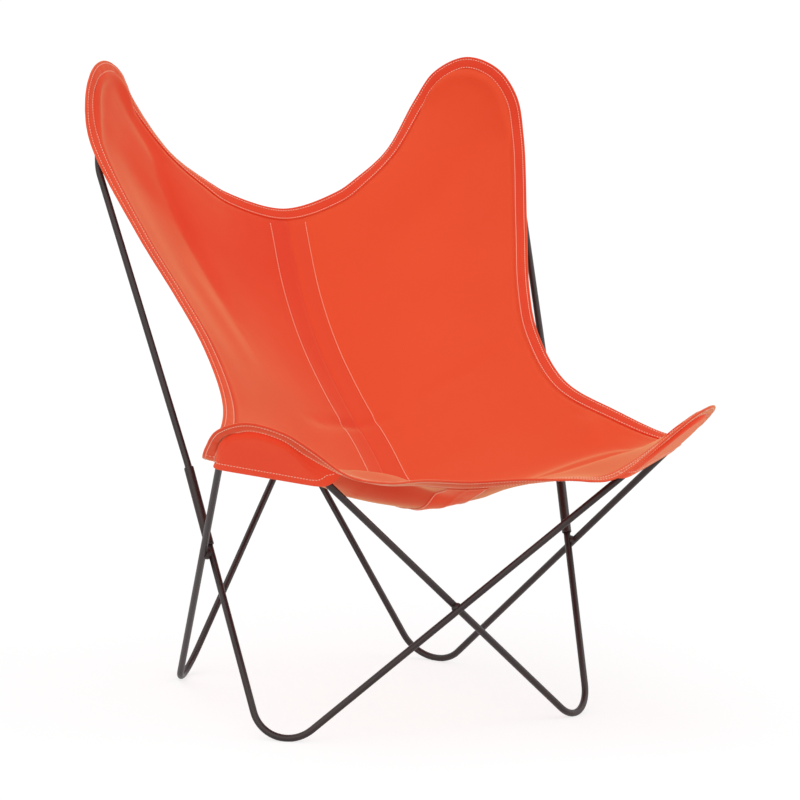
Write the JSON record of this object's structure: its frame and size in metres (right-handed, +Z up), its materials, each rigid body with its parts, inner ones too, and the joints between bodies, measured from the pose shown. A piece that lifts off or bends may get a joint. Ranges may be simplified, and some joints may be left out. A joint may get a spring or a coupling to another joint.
{
  "type": "butterfly sling chair",
  "caption": "Low lounge chair: a canvas sling hung by pockets from the peaks of a bent-rod frame.",
  "frame": {"origin": "on the floor, under the middle of the chair's bounding box", "axes": "+Z up, -Y the way the sitter faces, +X to the right in the front view"},
  "size_m": [0.7698, 0.7796, 0.9217],
  "materials": {
    "paint": "satin dark brown-black paint",
    "canvas": "matte orange-red cotton canvas",
    "canvas_back": "matte orange-red cotton canvas, underside"
  },
  "bodies": {
    "root": {"base_rod_left": "paint", "base_rod_right": "paint", "upright_bow_left": "paint", "upright_bow_right": "paint", "side_sleeve_left": "paint", "side_sleeve_right": "paint", "back_sleeve_left": "paint", "back_sleeve_right": "paint", "side_weld_left": "paint", "side_weld_right": "paint", "front_weld": "paint", "back_weld": "paint", "sling_half_left": "canvas", "sling_half_right": "canvas", "seam_strip": "canvas_back", "hem_back": "canvas", "hem_front": "canvas", "hem_side_left": "canvas", "hem_side_right": "canvas", "pocket_back_left": "canvas_back", "pocket_back_right": "canvas_back", "pocket_front_left": "canvas_back", "pocket_front_right": "canvas_back"}
  },
  "joints": []
}
